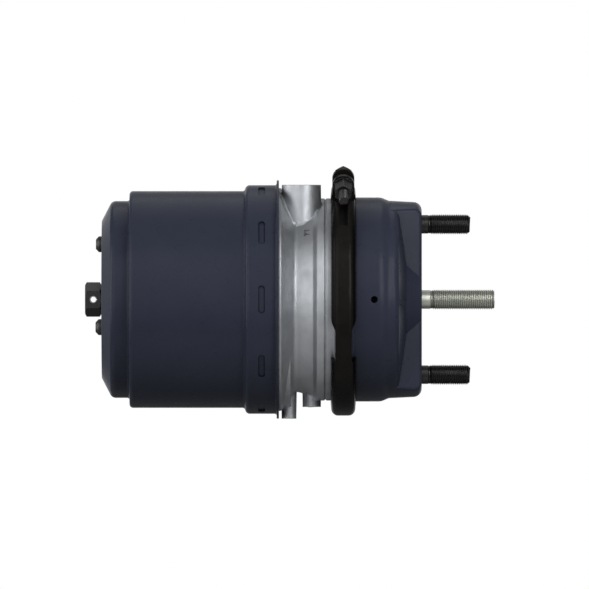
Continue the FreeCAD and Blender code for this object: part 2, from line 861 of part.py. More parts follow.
def crimp_cutter(inner_radius, outer_radius, width, angle):
    """An obround pad on the collar, bent round the axis and facing the viewer."""
    half_width = width / 2
    half_angle = angle / 2 - math.degrees(half_width / outer_radius)
    band = ring(crimp_x - half_width, crimp_x + half_width, inner_radius, outer_radius)
    wedge_reach = outer_radius * 1.2
    side = wedge_reach * math.tan(math.radians(half_angle))
    wedge = Part.Face(Part.makePolygon([
        FreeCAD.Vector(crimp_x - width, 0, 0),
        FreeCAD.Vector(crimp_x - width, -wedge_reach, side),
        FreeCAD.Vector(crimp_x - width, -wedge_reach, -side),
        FreeCAD.Vector(crimp_x - width, 0, 0),
    ])).extrude(X_AXIS * 2 * width)
    pad = band.common(wedge)
    for turn in (-half_angle, half_angle):
        end = Part.makeCylinder(half_width, outer_radius, FreeCAD.Vector(crimp_x, 0, 0), Y_AXIS * -1)
        end = end.common(band)
        pad = pad.fuse(turned_about_x(end, turn))
    return pad


def make_spring_housing():
    shell = sheet_solid(housing_outline(), housing_sheet)
    outer = collar_diameter / 2
    inner = outer - housing_sheet
    dent = crimp_cutter(outer - crimp_depth, outer + 1, crimp_width, crimp_angle)
    back = crimp_cutter(inner - crimp_depth, inner + 0.01, crimp_width + 1.0, crimp_angle + 0.6)
    for k in range(crimp_count):
        turn = 360 * k / crimp_count
        shell = shell.fuse(turned_about_x(back, turn)).cut(turned_about_x(dent, turn))
    for x, y, z in plug_places():
        shell = shell.cut(Part.makeCylinder(plug_shank_diameter / 2, 3 * housing_sheet,
                                            FreeCAD.Vector(cap_x - housing_sheet, y, z), X_AXIS))
    return shell


def plug_places():
    places = []
    for k in range(plug_count):
        angle = math.radians(360 * k / plug_count)
        radius = plug_circle_diameter / 2
        places.append((cap_x, -radius * math.sin(angle), radius * math.cos(angle)))
    return places


def make_vent_plugs():
    head = plug_head_diameter / 2
    barb_x = cap_inner_x + seat_fit
    outline = [
        (cap_x - plug_head_height, 0),
        (cap_x - plug_head_height, plug_tip_diameter / 2, turned_edge_radius),
        (cap_x - plug_head_height / 2, head, turned_edge_radius),
        (cap_x, head),
        (cap_x, plug_shank_diameter / 2 - seat_fit),
        (barb_x, plug_shank_diameter / 2 - seat_fit),
        (barb_x, plug_barb_diameter / 2),
        (barb_x + plug_barb_length, plug_shank_diameter / 2 - 1),
        (barb_x + plug_barb_length, 0),
    ]
    plug = turned(outline)
    return [plug.copy().translate(FreeCAD.Vector(0, y, z)) for x, y, z in plug_places()]


def make_release_bush():
    bore = release_diameter / 2 + running_fit
    neck = release_bush_neck_diameter / 2
    return turned([
        (cap_x, bore), (cap_x, neck), (cap_inner_x, neck),
        (cap_inner_x, release_bush_diameter / 2, turned_edge_radius),
        (cap_inner_x + release_bush_length, release_bush_diameter / 2, 2 * turned_edge_radius),
        (cap_inner_x + release_bush_length, bore),
    ])


# Parking piston

def skirt_groove(left_x, width, depth):
    """Corners of a groove in the skirt's outer face, from left to right."""
    outer = barrel_bore_radius - piston_clearance
    floor, right_x = outer - depth, left_x + width
    return [(left_x, outer), (left_x, floor), (right_x, floor), (right_x, outer)]


def guide_groove_x():
    return skirt_left_x + piston_land


def seal_groove_x():
    return skirt_right_x - piston_land - piston_seal_width


def make_parking_piston():
    outer = barrel_bore_radius - piston_clearance
    floor = piston_floor_diameter / 2
    tube = tube_diameter / 2
    hub = tube + piston_hub_wall
    hub_left_x = piston_seat_x - piston_hub_rise
    outline = [
        (skirt_left_x, outer - piston_wall),
        (skirt_left_x, outer, turned_edge_radius),
    ]
    outline += skirt_groove(guide_groove_x(), guide_ring_width, guide_ring_depth)
    outline += skirt_groove(seal_groove_x(), piston_seal_width, piston_seal_depth)
    outline += [
        (skirt_right_x, outer, turned_edge_radius),
        (skirt_right_x, floor + piston_taper, piston_edge_radius),
        (piston_face_x, floor, piston_corner_radius),
        (piston_face_x, tube),
        (hub_left_x, tube),
        (hub_left_x, hub, casting_edge_radius),
        (piston_seat_x, hub + hub_taper, casting_hollow_radius),
        (piston_seat_x, floor - piston_wall, piston_corner_radius),
        (skirt_right_x - piston_edge_radius, floor + piston_taper - piston_wall, piston_edge_radius),
    ]
    return turned(outline)


def make_piston_seal():
    """Rubber lip seal, its open lip towards the pressure side."""
    outer = barrel_bore_radius - running_fit
    inner = barrel_bore_radius - piston_clearance - piston_seal_depth + seat_fit
    left = seal_groove_x() + seat_fit
    right = left + piston_seal_width - 2 * seat_fit
    return turned([
        (left, inner), (left, outer - 0.6), (left + 2, outer - 0.6), (right, outer),
        (right, outer - 1.6), (right - 2.4, outer - 2.4), (right, inner + 1.2), (right, inner),
    ])


def make_piston_guide_ring():
    outer = barrel_bore_radius - running_fit
    inner = barrel_bore_radius - piston_clearance - guide_ring_depth + seat_fit
    left = guide_groove_x() + seat_fit
    return ring(left, left + guide_ring_width - 2 * seat_fit, inner, outer)


def make_thrust_tube():
    outer, inner = tube_diameter / 2, tube_bore / 2
    return turned([
        (tube_left_x, inner),
        (tube_left_x, outer, turned_edge_radius),
        (tube_right_x, outer, turned_edge_radius),
        (tube_right_x, inner),
    ])


def make_thrust_tube_cap():
    """Ring screwed into the back of the tube, which the release collar pulls on."""
    return ring(tube_left_x, tube_cap_x, release_diameter / 2 + 2 * free_fit, tube_bore / 2)


def make_thrust_tube_pad():
    return rod(tube_right_x - tube_pad_depth, tube_right_x, tube_bore / 2)


def make_power_spring_seat():
    half_wire = power_spring_wire / 2
    middle = power_spring_piston_diameter / 2
    return ring(piston_seat_x - spring_seat_thickness, piston_seat_x,
                middle - half_wire, piston_floor_diameter / 2 - piston_wall - piston_corner_radius)


def make_power_spring():
    """Barrel spring that drives the parking piston, clear of the plugs at its cap end."""
    cap_end_diameter = plug_circle_diameter + plug_barb_diameter + power_spring_wire + 2 * free_fit
    return coil_spring(spring_left_x, spring_right_x, cap_end_diameter, power_spring_piston_diameter,
                       power_spring_wire, power_spring_turns)


# Release bolt

def make_release_bolt():
    radius = release_diameter / 2
    end_x = release_collar_x + release_collar_length + release_end_reach
    start_x = release_nut_x + 1.0
    bolt = turned([
        (start_x, 0), (start_x, radius - 1), (start_x + 1, radius), (end_x - 1, radius),
        (end_x, radius - 1), (end_x, 0),
    ])
    return bolt.cut(release_pin_hole(release_nut_flats))


def release_pin_hole(length):
    centre_x = release_nut_x + release_pin_station
    start = FreeCAD.Vector(centre_x, -length / 2, 0)
    return Part.makeCylinder(release_pin_diameter / 2, length, start, Y_AXIS)


def make_release_nut():
    nut = hexagon(release_nut_flats, release_nut_x, release_nut_x + release_nut_height)
    nut = nut.cut(rod(release_nut_x, release_nut_x + release_nut_height, release_diameter / 2))
    return nut.cut(release_pin_hole(2 * release_nut_flats))


def make_release_nut_pin():
    """Rolled spring pin with an open bore and a slot along its side."""
    centre_x = release_nut_x + release_pin_station
    start = FreeCAD.Vector(centre_x, -release_pin_length / 2, 0)
    pin = Part.makeCylinder(release_pin_diameter / 2, release_pin_length, start, Y_AXIS)
    pin = pin.cut(Part.makeCylinder(release_pin_bore / 2, release_pin_length, start, Y_AXIS))
    slot = box_between((centre_x, -release_pin_length / 2, -release_pin_slot / 2),
                       (centre_x + release_pin_diameter, release_pin_length / 2, release_pin_slot / 2))
    return pin.cut(slot)


def make_release_collar():
    return ring(release_collar_x, release_collar_x + release_collar_length,
                release_diameter / 2, release_collar_diameter / 2)


def make_release_washer():
    return ring(release_washer_x, release_washer_x + release_washer_thickness,
                release_diameter / 2 + running_fit, release_collar_diameter / 2)


# Clamp ring, built with its bolt at the top and then turned towards the viewer

def clamp_inner_half_width(radius):
    """Half width of the channel inside the clamp ring at a given radius, set by the rims it holds."""
    at_rim = bead_thickness / 2 + service_sheet + free_fit
    return at_rim + clamp_flank_slope * (rim_diameter / 2 - radius)


def clamp_half_width(radius):
    return clamp_inner_half_width(radius) + clamp_sheet


def clamp_channel():
    """Solid of revolution that fills the inside of the clamp ring's channel."""
    crown = clamp_diameter / 2 - clamp_sheet
    foot = clamp_foot_diameter / 2
    low = foot - 4.0
    corners = [(low, 0), (foot, 0), (crown, clamp_inner_corner)]
    left = [(seam_x - clamp_inner_half_width(radius), radius, corner) for radius, corner in corners]
    right = [(2 * seam_x - x, radius, corner) for x, radius, corner in reversed(left)]
    return turned(left + right)


def place_clamp(shape):
    return turned_about_x(shape, clamp_bolt_angle)


def make_clamp_ring():
    crown = clamp_diameter / 2
    foot = clamp_foot_diameter / 2
    half_foot, half_crown = clamp_half_width(foot), clamp_half_width(crown)
    band = turned([
        (seam_x - half_foot, foot), (seam_x - half_crown, crown, clamp_corner),
        (seam_x + half_crown, crown, clamp_corner), (seam_x + half_foot, foot),
    ])
    half_split = clamp_split / 2
    split = box_between((seam_x - 2 * half_foot, -half_split, 0),
                        (seam_x + 2 * half_foot, half_split, clamp_bolt_radius))
    lug_reach = lug_width / 2
    lug_height = clamp_bolt_radius - foot
    for side in (-1, 1):
        start = half_split if side > 0 else -half_split - lug_thickness
        plate = box_between((seam_x - lug_reach, start, foot),
                            (seam_x + lug_reach, start + lug_thickness, foot + lug_height))
        arch = Part.makeCylinder(lug_reach, lug_thickness,
                                 FreeCAD.Vector(seam_x, start, clamp_bolt_radius), Y_AXIS)
        band = band.fuse(plate.fuse(arch))
    band = band.cut(split).cut(clamp_channel())
    hole = Part.makeCylinder(clamp_bolt_diameter / 2 + seat_fit, 4 * clamp_split,
                             FreeCAD.Vector(seam_x, -2 * clamp_split, clamp_bolt_radius), Y_AXIS)
    band = band.cut(hole)
    lug_face = half_split + lug_thickness
    for side in (-1, 1):
        near, far = sorted((side * lug_face, side * crown_slot_reach))
        band = band.cut(box_between((seam_x - crown_slot_width / 2, near, foot / 2),
                                    (seam_x + crown_slot_width / 2, far, crown + 1)))
    for side in (-1, 1):
        inner_x = seam_x + side * relief_crown_width / 2
        outer_x = seam_x + side * (half_foot + 1)
        notch = Part.Face(Part.makePolygon([
            FreeCAD.Vector(outer_x, -crown - 1, relief_top + relief_taper),
            FreeCAD.Vector(inner_x, -crown - 1, relief_top),
            FreeCAD.Vector(inner_x, -crown - 1, -relief_bottom),
            FreeCAD.Vector(outer_x, -crown - 1, -relief_bottom),
            FreeCAD.Vector(outer_x, -crown - 1, relief_top + relief_taper),
        ])).extrude(Y_AXIS * (clamp_diameter + 2))
        band = band.cut(notch)
    return place_clamp(band)


def along_clamp_bolt(shape):
    """Move a piece made along X from the origin to the clamp bolt, pointing at the viewer."""
    moved = shape.copy()
    moved.rotate(ORIGIN, Z_AXIS, -90)
    moved.translate(FreeCAD.Vector(seam_x, 0, clamp_bolt_radius))
    return place_clamp(moved)


def lug_outer_face():
    return clamp_split / 2 + lug_thickness


def make_clamp_bolt():
    head_end = -lug_outer_face() - clamp_washer_thickness
    radius = clamp_bolt_diameter / 2
    head = hexagon(clamp_bolt_flats, head_end - clamp_head_height, head_end, (True, False))
    shank = turned([
        (head_end, 0), (head_end, radius), (clamp_bolt_end - 1, radius),
        (clamp_bolt_end, radius - 1), (clamp_bolt_end, 0),
    ])
    return along_clamp_bolt(head.fuse(shank).removeSplitter())


def make_clamp_nut():
    start = lug_outer_face() + clamp_washer_thickness
    nut = hexagon(clamp_bolt_flats, start, start + clamp_nut_height)
    return along_clamp_bolt(nut.cut(rod(start, start + clamp_nut_height, clamp_bolt_diameter / 2)))


def make_clamp_washers():
    face = lug_outer_face()
    washers = []
    for left in (-face - clamp_washer_thickness, face):
        washer = ring(left, left + clamp_washer_thickness,
                      clamp_bolt_diameter / 2 + seat_fit, clamp_washer_diameter / 2)
        washers.append(along_clamp_bolt(washer))
    return washers


# The whole actuator, one file per piece

def build_all():
    return {
        "spring_housing": make_spring_housing(),
        "vent_plugs": make_vent_plugs(),
        "release_bush": make_release_bush(),
        "flange_body": make_flange_body(),
        "flange_seal_ring": make_flange_seal_ring(),
        "tube_guide_bush": make_tube_guide_bush(),
        "tube_seal": make_tube_seal(),
        "tube_seal_retainer": make_tube_seal_retainer(),
        "diaphragm": make_diaphragm(),
        "service_housing": make_service_housing(),
        "mounting_studs": make_mounting_studs(),
        "rod_dust_seal": make_rod_dust_seal(),
        "spring_washer": make_spring_washer(),
        "return_spring": make_return_spring(),
        "clamp_ring": make_clamp_ring(),
        "clamp_bolt": make_clamp_bolt(),
        "clamp_nut": make_clamp_nut(),
        "clamp_washers": make_clamp_washers(),
        "power_spring": make_power_spring(),
        "parking_piston": make_parking_piston(),
        "piston_seal": make_piston_seal(),
        "piston_guide_ring": make_piston_guide_ring(),
        "power_spring_seat": make_power_spring_seat(),
        "thrust_tube": make_thrust_tube(),
        "thrust_tube_cap": make_thrust_tube_cap(),
        "thrust_tube_pad": make_thrust_tube_pad(),
        "push_plate": make_push_plate(),
        "push_rod": make_push_rod(),
        "release_washer": make_release_washer(),
        "release_bolt": make_release_bolt(),
        "release_nut": make_release_nut(),
        "release_nut_pin": make_release_nut_pin(),
        "release_collar": make_release_collar(),
    }


def main():
    os.makedirs("parts", exist_ok=True)
    for name, made in build_all().items():
        shape = Part.makeCompound(made) if isinstance(made, list) else made
        shape.exportStep("parts/" + name + ".step")
        solids = shape.Solids
        print(name, "solids", len(solids), "valid", shape.isValid(),
              "volume_cm3", round(sum(solid.Volume for solid in solids) / 1000, 2))


main()
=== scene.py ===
"""Looks of a combination spring brake actuator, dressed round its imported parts.

Everything is in metres in the parts' own frame: X runs along the actuator and
out of the push rod, Z is up, and the mounting face lies at X = 0.
"""
import json
import math

import bmesh
import bpy
from mathutils import Matrix, Vector
from mathutils.bvhtree import BVHTree


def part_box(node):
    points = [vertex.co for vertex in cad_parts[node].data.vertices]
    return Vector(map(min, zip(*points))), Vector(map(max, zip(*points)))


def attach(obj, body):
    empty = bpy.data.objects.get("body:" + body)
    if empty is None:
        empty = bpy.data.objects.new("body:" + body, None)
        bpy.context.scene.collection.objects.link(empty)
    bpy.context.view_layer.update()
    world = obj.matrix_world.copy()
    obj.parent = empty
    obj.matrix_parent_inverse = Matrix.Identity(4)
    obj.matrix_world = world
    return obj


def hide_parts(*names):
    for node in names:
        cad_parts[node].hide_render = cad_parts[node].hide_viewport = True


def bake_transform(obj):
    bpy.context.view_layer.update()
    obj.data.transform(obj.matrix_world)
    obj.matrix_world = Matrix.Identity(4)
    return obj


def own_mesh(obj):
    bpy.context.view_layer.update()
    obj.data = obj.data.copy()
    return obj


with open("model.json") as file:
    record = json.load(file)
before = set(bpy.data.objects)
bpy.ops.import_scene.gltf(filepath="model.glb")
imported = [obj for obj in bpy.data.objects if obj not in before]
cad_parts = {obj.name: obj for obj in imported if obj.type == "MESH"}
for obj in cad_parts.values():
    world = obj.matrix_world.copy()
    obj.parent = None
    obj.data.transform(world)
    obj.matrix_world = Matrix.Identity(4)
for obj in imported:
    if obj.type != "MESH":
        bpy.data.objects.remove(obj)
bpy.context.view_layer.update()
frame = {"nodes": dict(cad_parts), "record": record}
nodes = frame["nodes"]

MM = 0.001
WHITE = (1.0, 1.0, 1.0, 1.0)

# Threads: pitch of the M16 fine threads, and of the clamp bolt and the hose bracket's screw
fine_pitch = 1.5 * MM
coarse_pitch = 1.25 * MM

# A thread's section, as shares of its pitch: its depth, half its foot, half its crest, and how
# far its foot is sunk in the core
thread_depth_share = 0.61
flank_share = 0.43
land_share = 0.10
sunk_share = 0.25
thread_steps = 40
turned_steps = 96

# The clamp's bolt lies across the ring's split, turned round the actuator from the top
clamp_bolt_angle = math.radians(24.0)
clamp_bolt_rise = 103.0 * MM
clamp_seam_x = -62.9 * MM
clamp_crown_radius = 93.2 * MM

# The two port bosses stand upright on the casting's waist, one each side, and open upwards
port_x = -96.5 * MM
port_offset = 28.6 * MM
port_mouth = 90.8 * MM
port_depth = 14.0 * MM
port_bore = 8.0 * MM
boss_radius = 15.65 * MM

# The hose bracket's tapped hole opens downwards
bracket_x = -88.2 * MM
bracket_mouth = -86.2 * MM
bracket_depth = 10.0 * MM
bracket_bore = 4.0 * MM

# The port numbers stand on the flat of the waist, below the bosses
number_x = -91.9 * MM
number_rise = 53.7 * MM
waist_radius = 75.9 * MM

# The photograph's frame: its width in metres, and the point it is centred on
photo_width = 0.4725
photo_centre = Vector((-0.1020, 0.0, 0.0040))
camera_distance = 18.0
sensor_width = 36.0

# The floor: its height, its radius, and its greys where it is seen and where it throws light back
floor_level = -0.27
floor_radius = 0.40
floor_seen = (0.80, 0.80, 0.80, 1.0)
floor_unseen = (0.12, 0.12, 0.12, 1.0)

# The sky's strength as light; what is seen of it has strength 1
fill_level = 0.35


# Shared effects, as groups of shader nodes

def new_group(name, inputs, outputs):
    """An empty effect group with its sockets, its input node and its output node."""
    group = bpy.data.node_groups.new(name, "ShaderNodeTree")
    for label, kind, value in inputs:
        socket = group.interface.new_socket(label, in_out="INPUT", socket_type=kind)
        socket.default_value = value
    for label, kind in outputs:
        group.interface.new_socket(label, in_out="OUTPUT", socket_type=kind)
    return group, group.nodes.new("NodeGroupInput"), group.nodes.new("NodeGroupOutput")


def map_range(tree, value, low, high, to_low, to_high, smooth=False):
    node = tree.nodes.new("ShaderNodeMapRange")
    if smooth:
        node.interpolation_type = "SMOOTHSTEP"
    tree.links.new(value, node.inputs["Value"])
    for label, end in (("From Min", low), ("From Max", high), ("To Min", to_low), ("To Max", to_high)):
        if isinstance(end, bpy.types.NodeSocket):
            tree.links.new(end, node.inputs[label])
        else:
            node.inputs[label].default_value = end
    return node.outputs["Result"]


def math_node(tree, operation, first, second=0.0):
    node = tree.nodes.new("ShaderNodeMath")
    node.operation = operation
    for k, end in enumerate((first, second)):
        if isinstance(end, bpy.types.NodeSocket):
            tree.links.new(end, node.inputs[k])
        else:
            node.inputs[k].default_value = end
    return node.outputs["Value"]


def mix_color(tree, factor, first, second):
    node = tree.nodes.new("ShaderNodeMix")
    node.data_type = "RGBA"
    for label, end in (("Factor", factor), ("A", first), ("B", second)):
        socket = [s for s in node.inputs if s.name == label and s.enabled][0]
        if isinstance(end, bpy.types.NodeSocket):
            tree.links.new(end, socket)
        else:
            socket.default_value = end
    return [s for s in node.outputs if s.enabled][0]


def object_noise(tree, scale, detail, stretch=None):
    """Noise over the piece's own coordinates, in metres, optionally stretched along an axis."""
    coordinate = tree.nodes.new("ShaderNodeTexCoord").outputs["Object"]
    if stretch:
        mapping = tree.nodes.new("ShaderNodeMapping")
        mapping.inputs["Scale"].default_value = stretch
        tree.links.new(coordinate, mapping.inputs["Vector"])
        coordinate = mapping.outputs["Vector"]
    noise = tree.nodes.new("ShaderNodeTexNoise")
    tree.links.new(coordinate, noise.inputs["Vector"])
    for label, end in (("Scale", scale), ("Detail", detail)):
        if isinstance(end, bpy.types.NodeSocket):
            tree.links.new(end, noise.inputs[label])
        else:
            noise.inputs[label].default_value = end
    return noise.outputs["Fac"]


def make_cloud_group():
    """Slow patches between a low and a high value."""
    group, start, end = new_group(
        "cloud",
        [("Scale", "NodeSocketFloat", 20.0), ("Detail", "NodeSocketFloat", 4.0),
         ("Low", "NodeSocketFloat", 0.0), ("High", "NodeSocketFloat", 1.0)],
        [("Value", "NodeSocketFloat")])
    noise = object_noise(group, start.outputs["Scale"], start.outputs["Detail"])
    value = map_range(group, noise, 0.32, 0.68, start.outputs["Low"], start.outputs["High"])
    group.links.new(value, end.inputs["Value"])
    return group


def make_grain_group():
    """Fine relief on top of another normal."""
    group, start, end = new_group(
        "grain",
        [("Scale", "NodeSocketFloat", 800.0), ("Strength", "NodeSocketFloat", 0.2),
         ("Depth", "NodeSocketFloat", 0.0003), ("Normal", "NodeSocketVector", (0.0, 0.0, 0.0))],
        [("Normal", "NodeSocketVector"), ("Height", "NodeSocketFloat")])
    noise = object_noise(group, start.outputs["Scale"], 3.0)
    bump = group.nodes.new("ShaderNodeBump")
    group.links.new(noise, bump.inputs["Height"])
    group.links.new(start.outputs["Strength"], bump.inputs["Strength"])
    group.links.new(start.outputs["Depth"], bump.inputs["Distance"])
    group.links.new(start.outputs["Normal"], bump.inputs["Normal"])
    group.links.new(bump.outputs["Normal"], end.inputs["Normal"])
    group.links.new(noise, end.inputs["Height"])
    return group


def make_edge_group():
    """Softened corners: a normal that rounds them, and a broken mask of where they lie."""
    group, start, end = new_group(
        "soft_edge",
        [("Radius", "NodeSocketFloat", 0.0005), ("Wear", "NodeSocketFloat", 0.5)],
        [("Normal", "NodeSocketVector"), ("Mask", "NodeSocketFloat")])
    bevel = group.nodes.new("ShaderNodeBevel")
    bevel.samples = 6
    group.links.new(start.outputs["Radius"], bevel.inputs["Radius"])
    face = group.nodes.new("ShaderNodeNewGeometry")
    dot = group.nodes.new("ShaderNodeVectorMath")
    dot.operation = "DOT_PRODUCT"
    group.links.new(bevel.outputs["Normal"], dot.inputs[0])
    group.links.new(face.outputs["Normal"], dot.inputs[1])
    turned = map_range(group, dot.outputs["Value"], 0.995, 0.9, 0.0, 1.0)
    broken = map_range(group, object_noise(group, 420.0, 4.0), 0.42, 0.62, 0.0, 1.0)
    worn_and_highlight = math_node(group, "MULTIPLY", turned, broken)
    group.links.new(math_node(group, "MULTIPLY", worn_and_highlight, start.outputs["Wear"]), end.inputs["Mask"])
    group.links.new(bevel.outputs["Normal"], end.inputs["Normal"])
    return group


def make_crevice_group():
    """A mask of sheltered places, where painted shade darkens the colour along with the dirt and oxide
    that stay there.
    """
    group, start, end = new_group(
        "crevice",
        [("Distance", "NodeSocketFloat", 0.006), ("Amount", "NodeSocketFloat", 0.5)],
        [("Mask", "NodeSocketFloat")])
    shade = group.nodes.new("ShaderNodeAmbientOcclusion")
    shade.samples = 8
    group.links.new(start.outputs["Distance"], shade.inputs["Distance"])
    sheltered = map_range(group, shade.outputs["AO"], 0.45, 0.95, 1.0, 0.0)
    group.links.new(math_node(group, "MULTIPLY", sheltered, start.outputs["Amount"]), end.inputs["Mask"])
    return group


effects = {
    "cloud": make_cloud_group(),
    "grain": make_grain_group(),
    "soft_edge": make_edge_group(),
    "crevice": make_crevice_group(),
}


def effect(tree, name, **values):
    """Place an effect group in a material, with its own values or links."""
    node = tree.nodes.new("ShaderNodeGroup")
    node.node_tree = effects[name]
    for label, value in values.items():
        if isinstance(value, bpy.types.NodeSocket):
            tree.links.new(value, node.inputs[label])
        else:
            node.inputs[label].default_value = value
    return node


# Materials, one for each finish

def new_material(name):
    material = bpy.data.materials.new(name)
    material.use_nodes = True
    tree = material.node_tree
    tree.nodes.clear()
    output = tree.nodes.new("ShaderNodeOutputMaterial")
    shader = tree.nodes.new("ShaderNodeBsdfPrincipled")
    tree.links.new(shader.outputs["BSDF"], output.inputs["Surface"])
    return material, tree, shader


def layered_color(tree, light, dark, patch_scale, worn_and_highlight=None, edge_mask=None,
                  shade_and_grime=None, shade_and_grime_mask=None):
    """Patches between two colours, darkened in crevices as painted shade and grime, and lighter on edges
    as wear and painted highlight.
    """
    patches = effect(tree, "cloud", Scale=patch_scale).outputs["Value"]
    color = mix_color(tree, patches, dark, light)
    # Painted shade, together with grime, darkens the sheltered places.
    if shade_and_grime:
        color = mix_color(tree, shade_and_grime_mask, color, shade_and_grime)
    # Edges are lightened as wear and as painted highlight.
    if worn_and_highlight:
        color = mix_color(tree, edge_mask, color, worn_and_highlight)
    return color


def make_finish(name, light, dark, patch_scale, roughness, grain, metallic=0.0, specular=0.5,
                edge_radius=0.4 * MM, wear_and_highlight=0.0, worn_and_highlight=None, shade_and_grime=None, shade_and_grime_amount=0.0,
                shelter=1.5 * MM):
    """A solid finish: patchy colour, uneven gloss, fine relief, soft corners that are lighter as wear and
    painted highlight, and sheltered places darker as painted shade and grime.

    With no edge radius, as on threads, the corners stay crisp, and painted shade darkens the thread's
    root.
    """
    material, tree, shader = new_material(name)
    if edge_radius:
        edge = effect(tree, "soft_edge", Radius=edge_radius, Wear=wear_and_highlight)
        crevice = effect(tree, "crevice", Distance=shelter, Amount=shade_and_grime_amount)
        normal = edge.outputs["Normal"]
        color = layered_color(tree, light, dark, patch_scale, worn_and_highlight, edge.outputs["Mask"],
                              shade_and_grime, crevice.outputs["Mask"])
    else:
        normal = tree.nodes.new("ShaderNodeNewGeometry").outputs["Normal"]
        depth = tree.nodes.new("ShaderNodeAttribute")
        depth.attribute_name = "thread_depth"
        # Painted shade: the colour darkens towards each thread's root.
        painted_root_shade = map_range(tree, depth.outputs["Fac"], 0.05, 0.75, 0.0, shade_and_grime_amount)
        color = layered_color(tree, light, dark, patch_scale, shade_and_grime=shade_and_grime, shade_and_grime_mask=painted_root_shade)
    gloss = effect(tree, "cloud", Scale=4 * patch_scale, Low=roughness[0], High=roughness[1])
    grain_scale, grain_strength, grain_depth = grain
    relief = effect(tree, "grain", Scale=grain_scale, Strength=grain_strength, Depth=grain_depth,
                    Normal=normal)
    tree.links.new(color, shader.inputs["Base Color"])
    tree.links.new(gloss.outputs["Value"], shader.inputs["Roughness"])
    tree.links.new(relief.outputs["Normal"], shader.inputs["Normal"])
    shader.inputs["Metallic"].default_value = metallic
    shader.inputs["Specular IOR Level"].default_value = specular
    return material


def make_housing_coat():
    # Sheltered places are darkened as painted shade and grime.
    return make_finish(
        "housing_coat", light=(0.030, 0.034, 0.054, 1), dark=(0.026, 0.030, 0.048, 1), patch_scale=22.0,
        roughness=(0.26, 0.33), grain=(900.0, 0.08, 0.25 * MM), specular=0.10, edge_radius=0.35 * MM,
        wear_and_highlight=0.30, worn_and_highlight=(0.10, 0.105, 0.12, 1), shade_and_grime=(0.006, 0.0065, 0.009, 1), shade_and_grime_amount=0.9,
        shelter=2.0 * MM)


def make_cast_aluminium():
    """As-cast metal with an uneven skin."""
    material, tree, shader = new_material("cast_aluminium")
    edge = effect(tree, "soft_edge", Radius=1.4 * MM, Wear=0.4)
    # Sheltered places are darkened to grey as painted shade and grime.
    crevice = effect(tree, "crevice", Distance=5 * MM, Amount=0.30)
    cast = layered_color(tree, (0.44, 0.455, 0.475, 1), (0.36, 0.375, 0.395, 1), 60.0,
                         (0.58, 0.595, 0.61, 1), edge.outputs["Mask"],
                         (0.14, 0.147, 0.155, 1), crevice.outputs["Mask"])
    lumps = effect(tree, "grain", Scale=260.0, Strength=0.30, Depth=0.35 * MM,
                   Normal=edge.outputs["Normal"])
    skin = effect(tree, "grain", Scale=1500.0, Strength=0.22, Depth=0.15 * MM,
                  Normal=lumps.outputs["Normal"])
    rough = effect(tree, "cloud", Scale=180.0, Low=0.42, High=0.54)
    tree.links.new(cast, shader.inputs["Base Color"])
    tree.links.new(rough.outputs["Value"], shader.inputs["Roughness"])
    tree.links.new(skin.outputs["Normal"], shader.inputs["Normal"])
    shader.inputs["Metallic"].default_value = 0.9
    return material


def make_painted_shade_casting():
    """The cast-in numbers, dull and darkened as painted shade against the bright casting."""
    return make_finish(
        "painted_shade_casting", light=(0.17, 0.175, 0.185, 1), dark=(0.12, 0.125, 0.13, 1), patch_scale=200.0,
        roughness=(0.5, 0.6), grain=(1500.0, 0.1, 0.1 * MM), metallic=0.8, edge_radius=0.1 * MM)


def make_black_steel(name="black_steel"):
    # Its paler edges are wear and painted highlight, and its sheltered places painted shade with grime.
    return make_finish(
        name, light=(0.0105, 0.0092, 0.0084, 1), dark=(0.0070, 0.0062, 0.0057, 1), patch_scale=45.0,
        roughness=(0.22, 0.30), grain=(1400.0, 0.10, 0.15 * MM), specular=0.07, edge_radius=0.4 * MM,
        wear_and_highlight=0.7, worn_and_highlight=(0.060, 0.052, 0.046, 1), shade_and_grime=(0.0008, 0.0008, 0.0008, 1), shade_and_grime_amount=1.0,
        shelter=4.0 * MM)


def make_clamp_black():
    """The clamp's black coat, darkened to near black down its flanks as painted shade, with the crown left
    in the coat's own colour.
    """
    material = make_black_steel("clamp_black")
    tree = material.node_tree
    shader = tree.nodes["Principled BSDF"]
    across = tree.nodes.new("ShaderNodeVectorMath")
    across.operation = "MULTIPLY"
    across.inputs[1].default_value = (0.0, 1.0, 1.0)
    tree.links.new(tree.nodes.new("ShaderNodeTexCoord").outputs["Object"], across.inputs[0])
    radius = tree.nodes.new("ShaderNodeVectorMath")
    radius.operation = "LENGTH"
    tree.links.new(across.outputs["Vector"], radius.inputs[0])
    # The crown keeps the coat's colour; the flanks are painted near-black as painted shade.
    crown_share = map_range(tree, radius.outputs["Value"], clamp_crown_radius - 2.0 * MM,
                       clamp_crown_radius - 0.1 * MM, 0.0, 1.0)
    coat = shader.inputs["Base Color"].links[0].from_socket
    painted_flank_shade = (0.0014, 0.0013, 0.0012, 1)
    tree.links.new(mix_color(tree, crown_share, painted_flank_shade, coat), shader.inputs["Base Color"])
    return material


def make_zinc_steel():
    # Sheltered places are darkened as painted shade and grime.
    return make_finish(
        "zinc_steel", light=(0.74, 0.76, 0.68, 1), dark=(0.64, 0.66, 0.58, 1), patch_scale=120.0,
        roughness=(0.34, 0.46), grain=(1600.0, 0.10, 0.1 * MM), metallic=0.75, edge_radius=0.15 * MM,
        wear_and_highlight=0.4, worn_and_highlight=(0.82, 0.83, 0.78, 1), shade_and_grime=(0.20, 0.205, 0.175, 1), shade_and_grime_amount=0.45)


